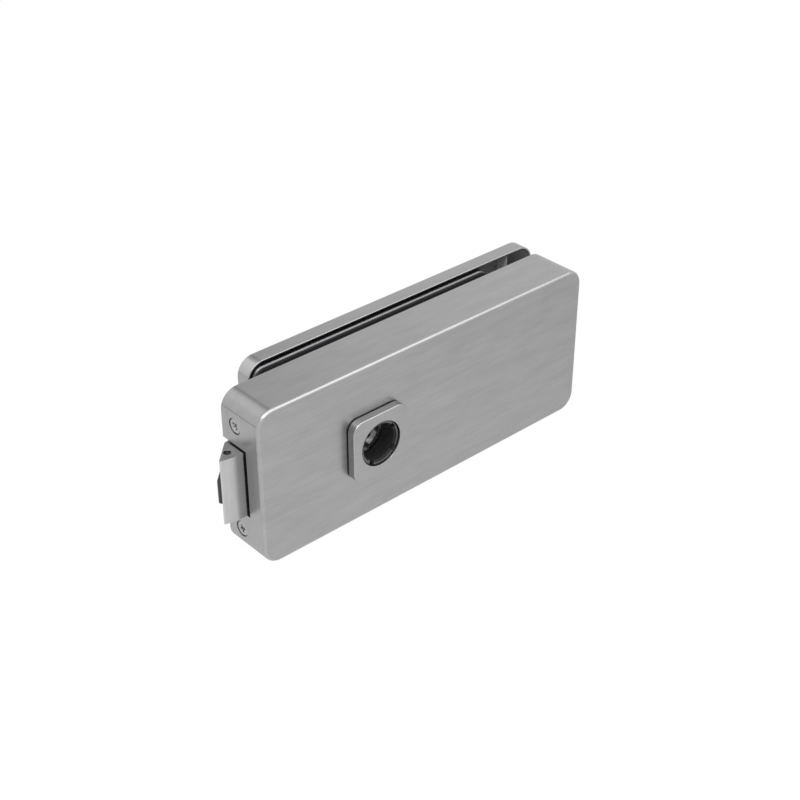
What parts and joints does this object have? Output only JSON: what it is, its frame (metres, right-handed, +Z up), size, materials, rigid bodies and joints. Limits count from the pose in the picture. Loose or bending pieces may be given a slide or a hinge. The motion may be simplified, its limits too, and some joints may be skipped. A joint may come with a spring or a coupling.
{
  "type": "glass door lock",
  "caption": "Latch lock clamped on a glass door: a flat rounded steel case with a bevelled latch, square lever collars on both sides and a shallow rear cover.",
  "frame": {"origin": "where the spindle axis crosses the middle plane of the glass", "axes": "+X runs along the lock from the latch end to the far end, +Y from the lock case through the glass to the rear cover, +Z up"},
  "size_m": [0.2181, 0.0538, 0.0826],
  "materials": {
    "satin_stainless": "satin, brushed along the length",
    "latch_steel": "satin, brushed upright",
    "screw_steel": "semi-bright",
    "zinc_plated_steel": "dull plated",
    "follower_steel": "turned",
    "spring_steel": "drawn wire",
    "black_plastic": "matt moulded",
    "dark_plastic": "matt moulded",
    "black_rubber": "matt"
  },
  "bodies": {
    "case": {"case_shell": "satin_stainless", "end_plate": "satin_stainless", "end_plate_screws": "screw_steel", "base_plate": "zinc_plated_steel", "front_gasket": "black_rubber", "upper_guide_block": "zinc_plated_steel", "lower_guide_block": "zinc_plated_steel", "guide_block_screws": "screw_steel", "mechanism_plate": "zinc_plated_steel", "pillars": "zinc_plated_steel", "mechanism_screws": "screw_steel", "spring_abutment": "zinc_plated_steel", "spring_post": "zinc_plated_steel", "return_spring": "spring_steel", "latch_spring": "spring_steel", "front_collar": "satin_stainless", "front_collar_seal": "black_rubber", "front_bush": "black_plastic", "front_bush_clip": "spring_steel", "front_collar_nut": "zinc_plated_steel", "spindle_sleeve": "zinc_plated_steel", "clamp_sleeves": "zinc_plated_steel", "sleeve_bushes": "dark_plastic", "clamp_screws": "screw_steel", "rear_gasket": "black_rubber", "counter_plate": "zinc_plated_steel", "rear_cover": "satin_stainless", "cover_clip_block": "black_plastic", "rear_collar": "satin_stainless", "rear_collar_seal": "black_rubber", "rear_bush": "black_plastic", "rear_bush_clip": "spring_steel", "case_lugs": "zinc_plated_steel", "case_grub_screws": "screw_steel"},
    "follower": {"follower": "follower_steel"},
    "latch": {"latch_head": "latch_steel", "latch_glide": "black_plastic", "latch_pin": "screw_steel", "latch_tail": "zinc_plated_steel", "tail_rivets": "screw_steel", "spring_rod": "zinc_plated_steel"}
  },
  "joints": [
    {"name": "follower_turn", "type": "hinge", "parent": "case", "child": "follower", "pos_m": [0, -0.0147, 0], "axis": [0, 1, 0], "range_deg": [0, 38], "stiffness_Nm_per_rad": 1.2, "springref_deg": -17.19, "deforming": ["return_spring"]},
    {"name": "latch_slide", "type": "slide", "parent": "case", "child": "latch", "axis": [1, 0, 0], "range_m": [0, 0.0126], "stiffness_N_per_m": 150, "springref_m": -0.025, "deforming": ["latch_spring"]}
  ],
  "couplings": [
    {"joint": "follower_turn", "follows": "latch_slide", "rad_per_m": 52.636}
  ]
}
